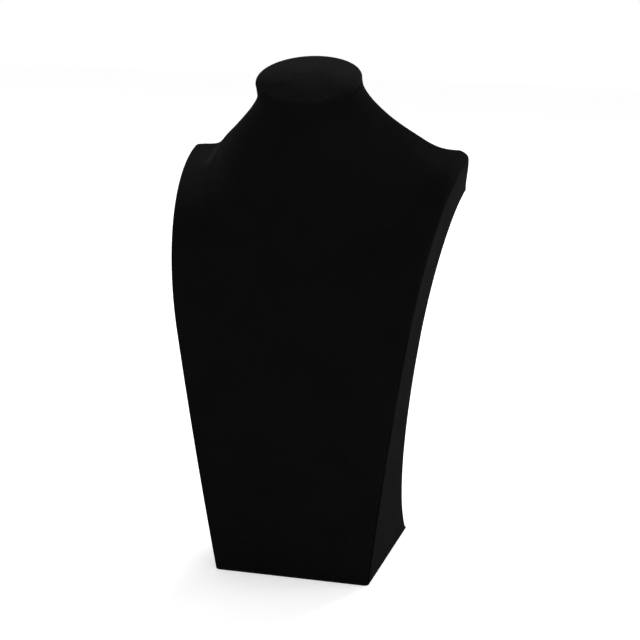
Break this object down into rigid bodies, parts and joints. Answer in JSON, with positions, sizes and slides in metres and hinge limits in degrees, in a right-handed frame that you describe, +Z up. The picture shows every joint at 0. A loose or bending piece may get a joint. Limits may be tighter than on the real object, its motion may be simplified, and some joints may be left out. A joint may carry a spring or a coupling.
{
  "type": "necklace stand",
  "caption": "Free-standing necklace display bust: curved chest, swept-up shoulders and forward-leaning neck, covered in black velvet.",
  "frame": {"origin": "middle of the underside's rectangle, on the surface that the bust stands on", "axes": "+Z up, the chest faces -Y, +X to the right as seen from the front"},
  "size_m": [0.1942, 0.1418, 0.35],
  "materials": {
    "front_velvet": "black velvet, short dense pile",
    "side_velvet": "black velvet, short dense pile",
    "neck_velvet": "black velvet, short dense pile",
    "back_velvet": "black velvet, short dense pile",
    "moulded_shell": "moulded, unpolished",
    "fibreboard": "sawn fibreboard",
    "underside_card": "black card"
  },
  "bodies": {
    "root": {"front_cover": "front_velvet", "back_cover": "back_velvet", "side_cover_left": "side_velvet", "side_cover_right": "side_velvet", "neck_cover": "neck_velvet", "front_shell": "moulded_shell", "back_panel": "moulded_shell", "side_board_left": "fibreboard", "side_board_right": "fibreboard", "base_board": "fibreboard", "neck_board": "fibreboard", "underside_sheet": "underside_card"}
  },
  "joints": []
}
